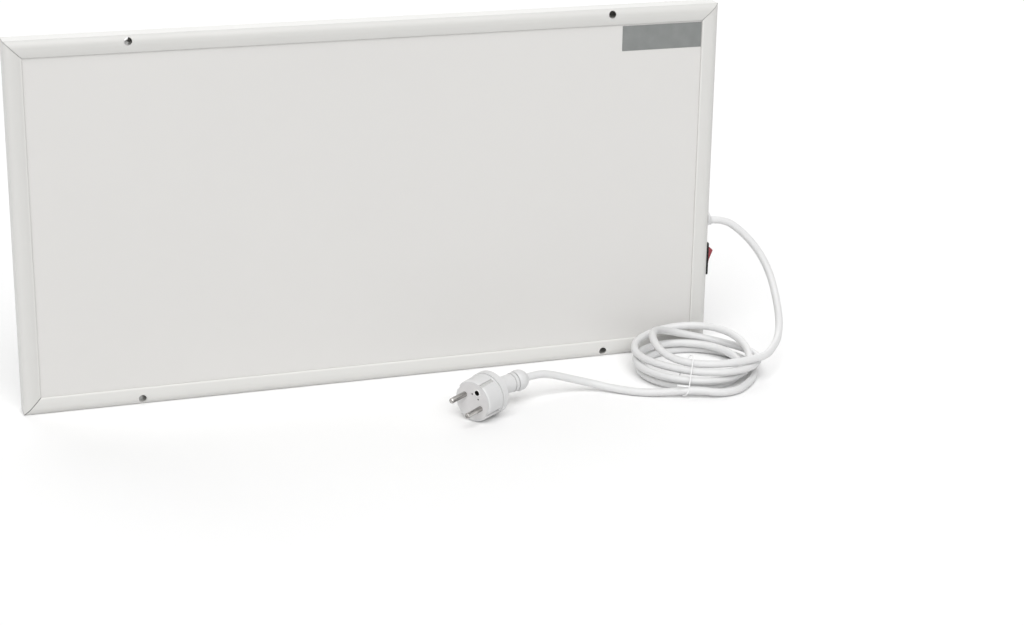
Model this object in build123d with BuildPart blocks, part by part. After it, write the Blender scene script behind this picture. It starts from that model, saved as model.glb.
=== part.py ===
from build123d import *
import math
import os

os.makedirs("parts", exist_ok=True)

# An infrared panel heater, 620 x 320 x 20 mm, standing on its bottom edge in front of a wall.
# Millimetres. Origin at the middle of the frame's bottom face: +X to the right seen from the
# front, +Y towards the wall, +Z up. The heating face looks along -Y.

# ---------------------------------------------------------------- driving dimensions
panel_width = 620.0
panel_height = 320.0
panel_depth = 20.0

# extruded aluminium frame: u runs inwards from the outer edge, y from the front to the back
frame_face = 14.5          # face width, outer edge to lip
frame_wall = 1.4
chamber_outer = 10.0       # outer edge to the far side of the hollow chamber's inner wall
edge_round_depth = 3.0     # how far the bulged front falls back at the outer edge
lip_fall = 1.4             # how far it falls back at the lip
lip_thickness = 1.5
bulge_at = 6.0             # distance of the bulge's crest from the outer edge
back_lip_reach = 13.0
mitre_gap = 0.15           # each bar stops this far short of the mitre line

# wall fixing holes through the top and bottom bars
fixing_span = 420.0
fixing_inset = 5.0         # hole centre to the outer edge
fixing_radius = 3.4

# corner keys inside the chamber, with a grub screw through each leg from the back
key_leg = 32.0
key_clearance = 0.25
key_screw_inset = 20.0
screw_radius = 2.0
screw_length = 7.0
screw_recess = 0.3
screw_clearance = 0.1
socket_radius = 1.1
socket_depth = 2.2

# layers from the front panel to the rear cover
sheet_clearance = 0.3      # sheet edge to the chamber wall
front_thickness = 1.5
film_thickness = 0.6
film_margin = 24.0         # film edge to the outer edge of the frame
mica_thickness = 0.5
foil_thickness = 0.3
cover_thickness = 1.0
busbar_width = 8.0
busbar_inset = 6.0         # busbar to the film's edge
busbar_tab = 8.0           # tab past the film's right edge

# wiring bay at the right end of the insulation board
bay_width = 42.0
bay_margin = 17.0          # bay above the thermal cut-out and below the earth lug's screw
channel_width = 16.0
channel_margin = 22.0

# rocker switch, a 29 x 11 mm cut-out in the right bar
switch_height = 83.3
cutout_length = 29.2
cutout_width = 11.2
bezel_length = 30.6
bezel_width = 14.0
bezel_thickness = 2.2
bezel_corner = 1.6
bezel_edge = 0.6
housing_fit = 0.2          # housing to the cut-out, each side
housing_depth = 21.0
well_length = 25.4
well_width = 9.3
rocker_width = 8.7
rocker_half = 9.4          # vertex to tip along one face
rocker_rise = 7.0          # degrees that each face rises from the middle
rocker_swing = 15.0        # degrees from level to either position
rocker_vertex = 6.7        # middle of the face above the pivot
pivot_depth = 5.0          # pivot below the bezel's face
rocker_skirt = 0.5         # level of the skirt's lower edge above the pivot
rocker_keel = 2.5          # underside below the pivot
rocker_keel_half = 5.0
rocker_tip_round = 0.5
trunnion_radius = 1.3
trunnion_clearance = 0.08
trunnion_reach = 0.65      # into the housing's side wall
well_floor = 5.5           # floor of the well below the pivot
latch_height = 0.5
latch_length = 4.0
latch_width = 6.0
blade_width = 4.8
blade_thickness = 0.8
blade_length = 9.5         # outside the housing
blade_seat = 2.5           # inside the housing
blade_pitch = 9.5
blade_clearance = 0.1

# cord gland above the switch; the nose tapers down to the cord, which leaves below its middle
gland_height = 121.2
cord_drop = 3.1            # cord's axis below the flange's middle
gland_flange_radius = 8.2
gland_flange = 1.4
gland_nose = 3.6           # tapered nose outside the flange
gland_nose_radius = 4.4
gland_root_radius = 7.6
gland_body_radius = 4.8
gland_body_length = 20.0   # behind the frame's outer face
gland_hole_clearance = 0.2
cord_radius = 3.4
cord_bore_clearance = 0.1
clip_thickness = 1.2
clip_half_width = 5.2
clip_half_height = 8.0
clip_groove = 0.8          # groove depth in the gland
clip_clearance = 0.2

# inner wiring, x from the frame's right side and z from the piece that each one serves
sheath_inset = 26.0        # where the cord's outer sheath is stripped
wire_radius = 1.1
wire_bend = 4.0
core_offset = 1.7          # wire centres from the cord's axis
connector_length = 15.0
connector_grip = 7.0       # length of blade inside a connector
connector_height = 6.4
connector_depth = 4.0
block_width = 24.0
block_height = 16.0
block_depth = 10.0
block_inset = 39.0
block_rise = 17.9          # block's underside above the cord's axis
block_pitch = 8.0
block_port_y = 3.5
block_port_depth = 4.0
block_screw_radius = 1.9
block_screw_head = 1.2
block_shank_radius = 1.2
block_shank = 3.6
block_screw_inset = 4.0
block_slot = 0.5
cutout_cap_radius = 8.0
cutout_cap = 4.0
cutout_base = 3.0
cutout_base_width = 16.0
cutout_base_height = 14.0
cutout_inset = 42.0
cutout_rise = 23.0         # its middle above the terminal block
lug_thickness = 1.0
lug_radius = 4.5
lug_drop = 36.1            # lug's screw below the switch's middle
lug_barrel_radius = 1.9
lug_barrel_from = 4.0      # barrel's lower and upper end above the screw
lug_barrel_to = 12.0
earth_screw_radius = 1.9
earth_screw_clearance = 0.1
earth_head_radius = 3.6
earth_head = 2.4
earth_screw_length = 5.0
channel_run_inset = 20.0   # wires in the edge channel
back_run_y = 6.2
wire_step = 4.0            # short run before a wire's first turn
wire_gap = 5.0             # between a wire's turn and the piece that it passes

# foil label, left blank, in the upper right corner of the front panel
label_width = 74.5
label_height = 22.2
label_thickness = 0.2
label_side_gap = 0.3
label_top_gap = 1.5

# two-pin plug with side earth strips; the plug lies on its flange and its front rim
plug_inset = 262.3         # middle of the plug's face, from the frame's right side
plug_y = -127.7
plug_heading = 214.2       # direction of the pins, degrees from +X
plug_roll = 150.3          # turn of the pin pair about the plug's axis, degrees
pin_radius = 2.4
pin_length = 19.0
pin_pitch = 19.0
pin_root = 9.0
pin_root_radius = 2.0
pin_round = 1.6
pin_clearance = 0.05
plug_face_radius = 17.6
plug_rim_radius = 18.3
plug_rim_round = 1.2
plug_back_radius = 18.6
plug_seam = 0.6            # width and depth of the groove in front of the flange
plug_flange_radius = 19.2
plug_flange_front = 18.5
plug_flange_edge = 24.5
plug_flange_round = 1.0
plug_shoulder_radius = 14.0
plug_shoulder = 27.4
neck_root = 31.0
neck_radius = 8.0
neck_length = 19.0
neck_bend = 14.0           # degrees, towards the cord
plug_insert_radius = 16.2
plug_insert_depth = 2.0
plug_insert_clearance = 0.1
collar_groove_radius = 7.2
collar_groove = 0.8
collar_ring_radius = 8.4
collar_ring = 2.8
collar_radius = 9.4        # the round end is part of a ball
collar_middle = 8.1        # its middle behind the neck
collar_back_radius = 5.0
earth_hole_radius = 2.6
earth_hole_offset = 10.0
earth_hole_depth = 14.0
dimple_radius = 0.8
dimple_depth = 0.8
dimple_offset = 3.6
dimple_drop = 5.6
notch_width = 5.0
notch_floor = 16.8         # notch bottom to the plug's axis
strip_width = 3.0
strip_thickness = 0.9
strip_length = 16.0
strip_floor = 16.9         # slot bottom to the plug's axis
slot_clearance = 0.15

# coil of spare cord: reach from the coil's centre and height at the front right, front left,
# back left and back right of each turn, going clockwise seen from above
coil_inset, coil_y = 38.0, -72.0
coil_reach = [58, 38, 38.5, 59,
              56.5, 43, 55, 56.5,
              49.5, 51.5, 50.5, 48.5,
              43, 48, 48, 55,
              56]
coil_height = [23.8, 26, 32.5, 11.5,
               16.2, 18.4, 20, 25,
               9.9, 11.9, 11.5, 9.5,
               4.2, 4.8, 3.5, 3.5,
               3.5]
reach_before, reach_after = 120, 62
height_before, height_after = 22, 3.5
coil_run = 16.0            # straight run where a free stretch meets the coil
plug_run = 13.0            # and where it meets the plug's collar
bend_share = 0.45          # share of the shorter run that each bend takes

# bag tie round the coil's front strands
tie_inset = 56.0
tie_width = 1.6
tie_thickness = 0.6
tie_clearance = 0.5
tie_slant = 1.06           # strands cross the tie at a slant, so their sections are this much wider

# ---------------------------------------------------------------- derived places
front_y = -panel_depth / 2
back_y = panel_depth / 2
side_x = panel_width / 2
lip_front = front_y + lip_fall
lip_back = lip_front + lip_thickness
back_lip_front = back_y - frame_wall
front_panel_back = lip_back + front_thickness
film_back = front_panel_back + film_thickness
mica_back = film_back + mica_thickness
foil_back = mica_back + foil_thickness
cover_front = back_lip_front - cover_thickness
sheet_inset = chamber_outer + sheet_clearance
sheet_width = panel_width - 2 * sheet_inset
sheet_height = panel_height - 2 * sheet_inset
film_width = panel_width - 2 * film_margin
film_height = panel_height - 2 * film_margin
middle = panel_height / 2
bezel_face = side_x + bezel_thickness
pivot_x = bezel_face - pivot_depth
housing_back = side_x - housing_depth
gland_face = side_x + gland_flange + gland_nose
cord_height = gland_height - cord_drop
sheath_end = side_x - sheath_inset
block_x = side_x - block_inset
block_bottom = cord_height + block_rise
block_top = block_bottom + block_height
cutout_x = side_x - cutout_inset
cutout_z = block_top + cutout_rise
lug_z = switch_height - lug_drop
lug_barrel_top = lug_z + lug_barrel_to
bay_bottom = lug_z - bay_margin
bay_top = cutout_z + bay_margin
channel_run_x = side_x - channel_run_inset
coil_x = side_x - coil_inset
plug_x = side_x - plug_inset
tie_x = side_x - tie_inset
collar_front = 2 * collar_groove + collar_ring
collar_end = collar_middle + math.sqrt(collar_radius ** 2 - collar_back_radius ** 2)
collar_front_radius = math.sqrt(collar_radius ** 2 - (collar_middle - collar_front) ** 2)


# ---------------------------------------------------------------- frame
def mitred_bar(length):
    """Hollow frame bar along X with its outer edge at z = 0 and both ends mitred."""
    lip_round = lip_thickness / 2
    reach = length / 2 - mitre_gap * math.sqrt(2)
    with BuildSketch(Plane.YZ.offset(-length / 2)) as section:
        with BuildLine():
            outer = Line((back_y, 0), (front_y + edge_round_depth, 0))
            TangentArc((front_y, bulge_at), outer @ 1, tangent=(0, -1))
            TangentArc((front_y, bulge_at), (lip_front, frame_face - lip_round), tangent=(0, 1))
            ThreePointArc((lip_front, frame_face - lip_round), (lip_front + lip_round, frame_face),
                          (lip_back, frame_face - lip_round))
            Polyline((lip_back, frame_face - lip_round), (lip_back, chamber_outer),
                     (back_lip_front, chamber_outer), (back_lip_front, back_lip_reach),
                     (back_y, back_lip_reach), outer @ 0)
        make_face()
        with BuildLine():
            floor = Line((back_lip_front, frame_wall), (front_y + edge_round_depth + frame_wall, frame_wall))
            crown = ThreePointArc(floor @ 1, (front_y + frame_wall, bulge_at),
                                  (front_y + frame_wall + key_clearance, chamber_outer - frame_wall))
            Polyline(crown @ 1, (back_lip_front, chamber_outer - frame_wall), floor @ 0)
        make_face(mode=Mode.SUBTRACT)
    with BuildPart() as bar:
        extrude(section.sketch, amount=length)
        for end in (-1, 1):
            split(bisect_by=Plane(origin=(end * reach, 0, 0), z_dir=(end, 0, 1)), keep=Keep.BOTTOM)
    return bar.part


def fixing_holes(height):
    """Cut the pair of wall fixing holes at one height from the part being built."""
    with BuildSketch(Plane.XZ.offset(-panel_depth)) as holes:
        with Locations((-fixing_span / 2, height), (fixing_span / 2, height)):
            Circle(fixing_radius)
    extrude(holes.sketch, amount=2 * panel_depth, mode=Mode.SUBTRACT)


corner_signs = [(-1, -1), (1, -1), (-1, 1), (1, 1)]


def key_screw_places():
    """Centres of the grub screws as (x, z): one on each leg of each corner key."""
    chamber_middle = chamber_outer / 2
    places = []
    for side, level in corner_signs:
        for along_x, along_z in ((key_screw_inset, chamber_middle), (chamber_middle, key_screw_inset)):
            places.append((side * (side_x - along_x), middle + level * (middle - along_z)))
    return places


def screw_holes():
    """Cut the grub screws' entry holes from the back wall of the bar being built."""
    with BuildSketch(Plane.XZ.offset(-back_y)) as holes:
        with Locations(*key_screw_places()):
            Circle(screw_radius + screw_clearance)
    extrude(holes.sketch, amount=2 * frame_wall, mode=Mode.SUBTRACT)


with BuildPart() as frame_bottom:
    add(mitred_bar(panel_width))
    fixing_holes(fixing_inset)
    screw_holes()
frame_bottom.part.label = "frame_bottom"
export_step(frame_bottom.part, "parts/frame_bottom.step")

with BuildPart() as frame_top:
    with Locations((0, 0, panel_height)):
        add(mitred_bar(panel_width), rotation=(0, 180, 0))
    fixing_holes(panel_height - fixing_inset)
    screw_holes()
frame_top.part.label = "frame_top"
export_step(frame_top.part, "parts/frame_top.step")

with BuildPart() as frame_left:
    with Locations((-side_x, 0, middle)):
        add(mitred_bar(panel_height), rotation=(0, 90, 0))
    screw_holes()
frame_left.part.label = "frame_left"
export_step(frame_left.part, "parts/frame_left.step")

with BuildPart() as frame_right:
    with Locations((side_x, 0, middle)):
        add(mitred_bar(panel_height), rotation=(0, -90, 0))
    screw_holes()
    with BuildSketch(Plane.YZ.offset(side_x)):
        with Locations((0, switch_height)):
            Rectangle(cutout_width, cutout_length)
        with Locations((0, cord_height)):
            Circle(gland_body_radius + gland_hole_clearance)
    extrude(amount=-chamber_outer - frame_wall, mode=Mode.SUBTRACT)
    with BuildSketch(Plane.YZ.offset(side_x - chamber_outer)):
        with Locations((0, lug_z)):
            Circle(earth_screw_radius + earth_screw_clearance)
    extrude(amount=2 * frame_wall, mode=Mode.SUBTRACT)
frame_right.part.label = "frame_right"
export_step(frame_right.part, "parts/frame_right.step")

with BuildPart() as corner_keys:
    with BuildSketch(Plane.XZ.offset(-back_lip_front + key_clearance)):
        near = frame_wall + key_clearance
        far = chamber_outer - frame_wall - key_clearance
        with BuildLine():
            Polyline((side_x - near, near), (side_x - key_leg, near), (side_x - key_leg, far),
                     (side_x - far, far), (side_x - far, key_leg), (side_x - near, key_leg),
                     (side_x - near, near))
        make_face()
    extrude(amount=back_lip_front - key_clearance - (front_y + edge_round_depth + frame_wall))
    chamfer(corner_keys.edges().filter_by(Axis.Y).group_by(Axis.X)[0], length=1.0)
    mirror(about=Plane.YZ)
    mirror(about=Plane.XY.offset(middle))
    with BuildSketch(Plane.XZ.offset(-back_y)):
        with Locations(*key_screw_places()):
            Circle(screw_radius + screw_clearance)
    extrude(amount=screw_length + 2 * frame_wall, mode=Mode.SUBTRACT)
corner_keys.part.label = "corner_keys"
export_step(corner_keys.part, "parts/corner_keys.step")

with BuildPart() as corner_screws:
    screw_face = back_y - screw_recess
    with BuildSketch(Plane.XZ.offset(-screw_face)):
        with Locations(*key_screw_places()):
            Circle(screw_radius)
    extrude(amount=screw_length)
    with BuildSketch(Plane.XZ.offset(-screw_face)):
        with Locations(*key_screw_places()):
            RegularPolygon(socket_radius, 6)
    extrude(amount=socket_depth, mode=Mode.SUBTRACT)
corner_screws.part.label = "corner_screws"
export_step(corner_screws.part, "parts/corner_screws.step")


# ---------------------------------------------------------------- layers
def sheet(width, height, front, back):
    """Flat rectangular sheet centred on the panel, between two depths."""
    with BuildPart() as layer:
        with BuildSketch(Plane.XZ.offset(-front)):
            with Locations((0, middle)):
                Rectangle(width, height)
        extrude(amount=front - back)
    return layer.part


with BuildPart() as front_panel:
    add(sheet(sheet_width, sheet_height, lip_back, front_panel_back))
front_panel.part.label = "front_panel"
export_step(front_panel.part, "parts/front_panel.step")

busbar_levels = [film_margin + busbar_inset + busbar_width / 2,
                 panel_height - film_margin - busbar_inset - busbar_width / 2]
busbar_end = film_width / 2 + busbar_tab
busbar_middle = (busbar_end - film_width / 2 + busbar_inset) / 2
busbar_length = film_width - busbar_inset + busbar_tab

with BuildPart() as heating_film:
    add(sheet(film_width, film_height, front_panel_back, film_back))
    with BuildSketch(Plane.XZ.offset(-front_panel_back)):
        with Locations(*[(busbar_middle, level) for level in busbar_levels]):
            Rectangle(busbar_length, busbar_width)
    extrude(amount=-film_thickness, mode=Mode.SUBTRACT)
heating_film.part.label = "heating_film"
export_step(heating_film.part, "parts/heating_film.step")

with BuildPart() as busbars:
    with BuildSketch(Plane.XZ.offset(-front_panel_back)):
        with Locations(*[(busbar_middle, level) for level in busbar_levels]):
            Rectangle(busbar_length, busbar_width)
    extrude(amount=-film_thickness)
busbars.part.label = "busbars"
export_step(busbars.part, "parts/busbars.step")

with BuildPart() as mica_sheet:
    add(sheet(film_width, film_height, film_back, mica_back))
mica_sheet.part.label = "mica_sheet"
export_step(mica_sheet.part, "parts/mica_sheet.step")

with BuildPart() as reflector_foil:
    add(sheet(film_width, film_height, mica_back, foil_back))
reflector_foil.part.label = "reflector_foil"
export_step(reflector_foil.part, "parts/reflector_foil.step")

with BuildPart() as insulation_board:
    add(sheet(sheet_width, sheet_height, foil_back, cover_front))
    with BuildSketch(Plane.XZ.offset(-foil_back)):
        with Locations((side_x - sheet_inset, (bay_bottom + bay_top) / 2)):
            Rectangle(2 * bay_width, bay_top - bay_bottom)
        with Locations((side_x - sheet_inset, middle)):
            Rectangle(2 * channel_width, panel_height - 2 * channel_margin)
    extrude(amount=foil_back - cover_front, mode=Mode.SUBTRACT)
insulation_board.part.label = "insulation_board"
export_step(insulation_board.part, "parts/insulation_board.step")

with BuildPart() as rear_cover:
    add(sheet(sheet_width, sheet_height, cover_front, back_lip_front))
rear_cover.part.label = "rear_cover"
export_step(rear_cover.part, "parts/rear_cover.step")

with BuildPart() as label_plate:
    with BuildSketch(Plane.XZ.offset(-lip_back)):
        with Locations((side_x - frame_face - label_side_gap, panel_height - frame_face - label_top_gap)):
            Rectangle(label_width, label_height, align=(Align.MAX, Align.MAX))
    extrude(amount=label_thickness)
label_plate.part.label = "label_plate"
export_step(label_plate.part, "parts/label_plate.step")

# ---------------------------------------------------------------- rocker switch
housing_width = cutout_width - 2 * housing_fit
housing_length = cutout_length - 2 * housing_fit
switch_centre = (0, switch_height)

with BuildPart() as switch_housing:
    with BuildSketch(Plane.YZ.offset(side_x)):
        with Locations(switch_centre):
            RectangleRounded(bezel_width, bezel_length, bezel_corner)
    extrude(amount=bezel_thickness)
    fillet(switch_housing.faces().sort_by(Axis.X)[-1].edges(), radius=bezel_edge)
    with BuildSketch(Plane.YZ.offset(side_x)):
        with Locations(switch_centre):
            Rectangle(housing_width, housing_length)
    extrude(amount=-housing_depth)
    with BuildSketch(Plane.XZ):
        latch_top = side_x - frame_wall - housing_fit
        for end in (-1, 1):
            wall = switch_height + end * housing_length / 2
            with BuildLine():
                Polyline((latch_top, wall - end), (latch_top, wall + end * latch_height),
                         (latch_top - latch_length, wall), (latch_top - latch_length, wall - end),
                         (latch_top, wall - end))
            make_face()
    extrude(amount=latch_width / 2, both=True)
    with BuildSketch(Plane.YZ.offset(bezel_face)):
        with Locations(switch_centre):
            Rectangle(well_width, well_length)
    extrude(amount=-(pivot_depth + well_floor), mode=Mode.SUBTRACT)
    with BuildSketch(Plane.XZ):
        with Locations((pivot_x, switch_height)):
            Circle(trunnion_radius + trunnion_clearance)
    extrude(amount=housing_width, both=True, mode=Mode.SUBTRACT)
    with BuildSketch(Plane.YZ.offset(housing_back)):
        with GridLocations(0, blade_pitch, 1, 3):
            with Locations(switch_centre):
                Rectangle(blade_thickness + 2 * blade_clearance, blade_width + 2 * blade_clearance)
    extrude(amount=blade_seat, mode=Mode.SUBTRACT)
switch_housing.part.label = "switch_housing"
export_step(switch_housing.part, "parts/switch_housing.step")


def rocker_point(rise, along):
    """Rocker point given as height and length from the pivot, upper end swung outwards."""
    swing = math.radians(rocker_swing)
    return (pivot_x + rise * math.cos(swing) + along * math.sin(swing),
            switch_height - rise * math.sin(swing) + along * math.cos(swing))


tip_rise = rocker_vertex + rocker_half * math.sin(math.radians(rocker_rise))
tip_along = rocker_half * math.cos(math.radians(rocker_rise))
skirt_radius = math.hypot(tip_rise, tip_along)
skirt_along = math.sqrt(skirt_radius ** 2 - rocker_skirt ** 2)
skirt_middle = math.atan2(tip_rise, tip_along) / 2
arc_middle = (skirt_radius * math.sin(skirt_middle), skirt_radius * math.cos(skirt_middle))

with BuildPart() as switch_rocker:
    with BuildSketch(Plane.XZ):
        with BuildLine():
            Polyline(rocker_point(tip_rise, tip_along), rocker_point(rocker_vertex, 0),
                     rocker_point(tip_rise, -tip_along))
            for end in (-1, 1):
                ThreePointArc(rocker_point(tip_rise, end * tip_along),
                              rocker_point(arc_middle[0], end * arc_middle[1]),
                              rocker_point(rocker_skirt, end * skirt_along))
            Polyline(rocker_point(rocker_skirt, -skirt_along), rocker_point(-rocker_keel, -rocker_keel_half),
                     rocker_point(-rocker_keel, rocker_keel_half), rocker_point(rocker_skirt, skirt_along))
        make_face()
    extrude(amount=rocker_width / 2, both=True)
    fillet(switch_rocker.edges().filter_by(Axis.Y).sort_by(Axis.X)[-1:], radius=rocker_tip_round)
    with BuildSketch(Plane.XZ):
        with Locations((pivot_x, switch_height)):
            Circle(trunnion_radius)
    extrude(amount=well_width / 2 + trunnion_reach, both=True)
switch_rocker.part.label = "switch_rocker"
export_step(switch_rocker.part, "parts/switch_rocker.step")

with BuildPart() as switch_terminals:
    with BuildSketch(Plane.YZ.offset(housing_back + blade_seat)):
        with GridLocations(0, blade_pitch, 1, 3):
            with Locations(switch_centre):
                Rectangle(blade_thickness, blade_width)
    extrude(amount=-(blade_seat + blade_length))
switch_terminals.part.label = "switch_terminals"
export_step(switch_terminals.part, "parts/switch_terminals.step")


# ---------------------------------------------------------------- cord gland
gland_back = side_x - gland_body_length
clip_front = side_x - chamber_outer
clip_back = clip_front - clip_thickness

with BuildPart() as cord_gland:
    with BuildSketch(Plane.YZ.offset(side_x)):
        with Locations((0, gland_height)):
            Circle(gland_flange_radius)
    extrude(amount=gland_flange)
    fillet(cord_gland.edges().sort_by(Axis.X)[-1:], radius=gland_flange / 2)
    with BuildSketch(Plane.YZ.offset(side_x + gland_flange)) as nose_root:
        with Locations((0, gland_height)):
            Circle(gland_root_radius)
    with BuildSketch(Plane.YZ.offset(gland_face)) as nose_tip:
        with Locations((0, cord_height)):
            Circle(gland_nose_radius)
    loft([nose_root.sketch.face(), nose_tip.sketch.face()])
    with BuildSketch(Plane.YZ.offset(gland_back)) as barrel:
        with Locations((0, cord_height)):
            Circle(gland_body_radius)
    extrude(barrel.sketch, amount=side_x - gland_back)
    with BuildSketch(Plane.YZ.offset(clip_back)) as groove:
        with Locations((0, cord_height)):
            Circle(gland_flange_radius)
            Circle(gland_body_radius - clip_groove, mode=Mode.SUBTRACT)
    extrude(groove.sketch, amount=clip_thickness, mode=Mode.SUBTRACT)
    with BuildSketch(Plane.YZ.offset(gland_back)) as bore:
        with Locations((0, cord_height)):
            Circle(cord_radius + cord_bore_clearance)
    extrude(bore.sketch, amount=gland_face - gland_back, mode=Mode.SUBTRACT)
cord_gland.part.label = "cord_gland"
export_step(cord_gland.part, "parts/cord_gland.step")

with BuildPart() as gland_clip:
    with BuildSketch(Plane.YZ.offset(clip_back)):
        with Locations((0, cord_height)):
            Rectangle(2 * clip_half_width, 2 * clip_half_height)
            Circle(gland_body_radius - clip_groove + clip_clearance, mode=Mode.SUBTRACT)
            Rectangle(clip_half_width, 2 * (gland_body_radius - clip_groove + clip_clearance),
                      align=(Align.MIN, Align.CENTER), mode=Mode.SUBTRACT)
    extrude(amount=clip_thickness)
gland_clip.part.label = "gland_clip"
export_step(gland_clip.part, "parts/gland_clip.step")

with BuildPart() as cord_inlet:
    with BuildSketch(Plane.YZ.offset(sheath_end)):
        with Locations((0, cord_height)):
            Circle(cord_radius)
    extrude(amount=gland_face - sheath_end)
cord_inlet.part.label = "cord_inlet"
export_step(cord_inlet.part, "parts/cord_inlet.step")


# ---------------------------------------------------------------- inner wiring
def bend_radii(points, largest=math.inf):
    """Bend radius at each inner point of a route, as large as its shorter run allows."""
    radii = []
    for before, corner, after in zip(points, points[1:], points[2:]):
        run_in, run_out = Vector(*corner) - Vector(*before), Vector(*after) - Vector(*corner)
        half_turn = math.radians(run_in.get_angle(run_out)) / 2
        radii.append(min(largest, bend_share * min(run_in.length, run_out.length) / math.tan(half_turn)))
    return radii


def tube(points, radius, largest_bend=math.inf):
    """Round tube along a route of straight runs and tangent bends."""
    with BuildPart() as stretch:
        with BuildLine() as route:
            FilletPolyline(*points, radius=bend_radii(points, largest_bend))
        with BuildSketch(Plane(origin=points[0], z_dir=Vector(*points[1]) - Vector(*points[0]))) as disc:
            Circle(radius)
        sweep(disc.sketch, path=route.line)
    return stretch.part


blade_end = housing_back - blade_length
connector_end = blade_end + connector_grip - connector_length
blade_levels = [switch_height + blade_pitch * step for step in (1, 0, -1)]
pole_xs = [block_x + block_pitch * step for step in (-1, 0, 1)]
block_back = cover_front
block_front = block_back - block_depth
block_middle = block_bottom + block_height / 2
port_low = block_bottom + block_port_depth
port_high = block_top - block_port_depth

with BuildPart() as spade_connectors:
    with BuildSketch(Plane.YZ.offset(connector_end)):
        with Locations(*[(0, level) for level in blade_levels]):
            Rectangle(connector_depth, connector_height)
    extrude(amount=connector_length)
    with BuildSketch(Plane.YZ.offset(blade_end)):
        with Locations(*[(0, level) for level in blade_levels]):
            Rectangle(blade_thickness + 2 * blade_clearance, blade_width + 2 * blade_clearance)
    extrude(amount=connector_length, mode=Mode.SUBTRACT)
spade_connectors.part.label = "spade_connectors"
export_step(spade_connectors.part, "parts/spade_connectors.step")

with BuildPart() as terminal_block:
    with BuildSketch(Plane.XZ.offset(-block_back)):
        with Locations((block_x, block_middle)):
            Rectangle(block_width, block_height)
    extrude(amount=block_depth)
    with BuildSketch(Plane.XY.offset(block_bottom)):
        with Locations(*[(pole, block_port_y) for pole in pole_xs]):
            Circle(wire_radius + blade_clearance)
    extrude(amount=block_port_depth, mode=Mode.SUBTRACT)
    with BuildSketch(Plane.XY.offset(port_high)):
        with Locations(*[(pole, block_port_y) for pole in pole_xs]):
            Circle(wire_radius + blade_clearance)
    extrude(amount=block_port_depth, mode=Mode.SUBTRACT)
    with BuildSketch(Plane.XZ.offset(-block_front)):
        with Locations(*[(pole, block_middle + step * block_screw_inset) for pole in pole_xs
                         for step in (-1, 1)]):
            Circle(block_shank_radius + blade_clearance)
    extrude(amount=-block_shank - blade_clearance, mode=Mode.SUBTRACT)
terminal_block.part.label = "terminal_block"
export_step(terminal_block.part, "parts/terminal_block.step")

with BuildPart() as terminal_screws:
    screw_places = [(pole, block_middle + step * block_screw_inset) for pole in pole_xs for step in (-1, 1)]
    with BuildSketch(Plane.XZ.offset(-block_front)):
        with Locations(*screw_places):
            Circle(block_screw_radius)
    extrude(amount=block_screw_head)
    with BuildSketch(Plane.XZ.offset(-block_front)):
        with Locations(*screw_places):
            Circle(block_shank_radius)
    extrude(amount=-block_shank)
    with BuildSketch(Plane.XZ.offset(-block_front + block_screw_head)):
        with Locations(*screw_places):
            Rectangle(2 * block_screw_radius, block_slot)
    extrude(amount=-block_slot, mode=Mode.SUBTRACT)
terminal_screws.part.label = "terminal_screws"
export_step(terminal_screws.part, "parts/terminal_screws.step")

with BuildPart() as thermal_cutout:
    with BuildSketch(Plane.XZ.offset(-foil_back)):
        with Locations((cutout_x, cutout_z)):
            Circle(cutout_cap_radius)
    extrude(amount=-cutout_cap)
    with BuildSketch(Plane.XZ.offset(-foil_back - cutout_cap)):
        with Locations((cutout_x, cutout_z)):
            Rectangle(cutout_base_width, cutout_base_height)
    extrude(amount=-cutout_base)
thermal_cutout.part.label = "thermal_cutout"
export_step(thermal_cutout.part, "parts/thermal_cutout.step")

with BuildPart() as earth_lug:
    with BuildSketch(Plane.YZ.offset(clip_front)):
        with Locations((0, lug_z)):
            Circle(lug_radius)
        with Locations((0, (lug_z + lug_barrel_top) / 2)):
            Rectangle(2 * lug_barrel_radius, lug_barrel_top - lug_z)
        with Locations((0, lug_z)):
            Circle(earth_screw_radius + earth_screw_clearance, mode=Mode.SUBTRACT)
    extrude(amount=-lug_thickness)
    with BuildSketch(Plane.XY.offset(lug_z + lug_barrel_from)):
        with Locations((clip_front - lug_barrel_radius, 0)):
            Circle(lug_barrel_radius)
    extrude(amount=lug_barrel_to - lug_barrel_from)
earth_lug.part.label = "earth_lug"
export_step(earth_lug.part, "parts/earth_lug.step")

with BuildPart() as earth_screw:
    with BuildSketch(Plane.YZ.offset(clip_front - lug_thickness)):
        with Locations((0, lug_z)):
            Circle(earth_head_radius)
    extrude(amount=-earth_head)
    with BuildSketch(Plane.YZ.offset(clip_front - lug_thickness)):
        with Locations((0, lug_z)):
            Circle(earth_screw_radius)
    extrude(amount=earth_screw_length)
    with BuildSketch(Plane.YZ.offset(clip_front - lug_thickness - earth_head)):
        with Locations((0, lug_z)):
            Rectangle(2 * earth_head_radius, block_slot)
            Rectangle(block_slot, 2 * earth_head_radius)
    extrude(amount=block_slot, mode=Mode.SUBTRACT)
earth_screw.part.label = "earth_screw"
export_step(earth_screw.part, "parts/earth_screw.step")


def core_start(angle):
    """Where a core leaves the stripped end of the sheath, angle in degrees from +Y."""
    turn = math.radians(angle)
    return (sheath_end, core_offset * math.cos(turn), cord_height + core_offset * math.sin(turn))


def drop(turns):
    """Short runs of a wire as wide as its gap, so many times."""
    return wire_gap * turns


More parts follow.
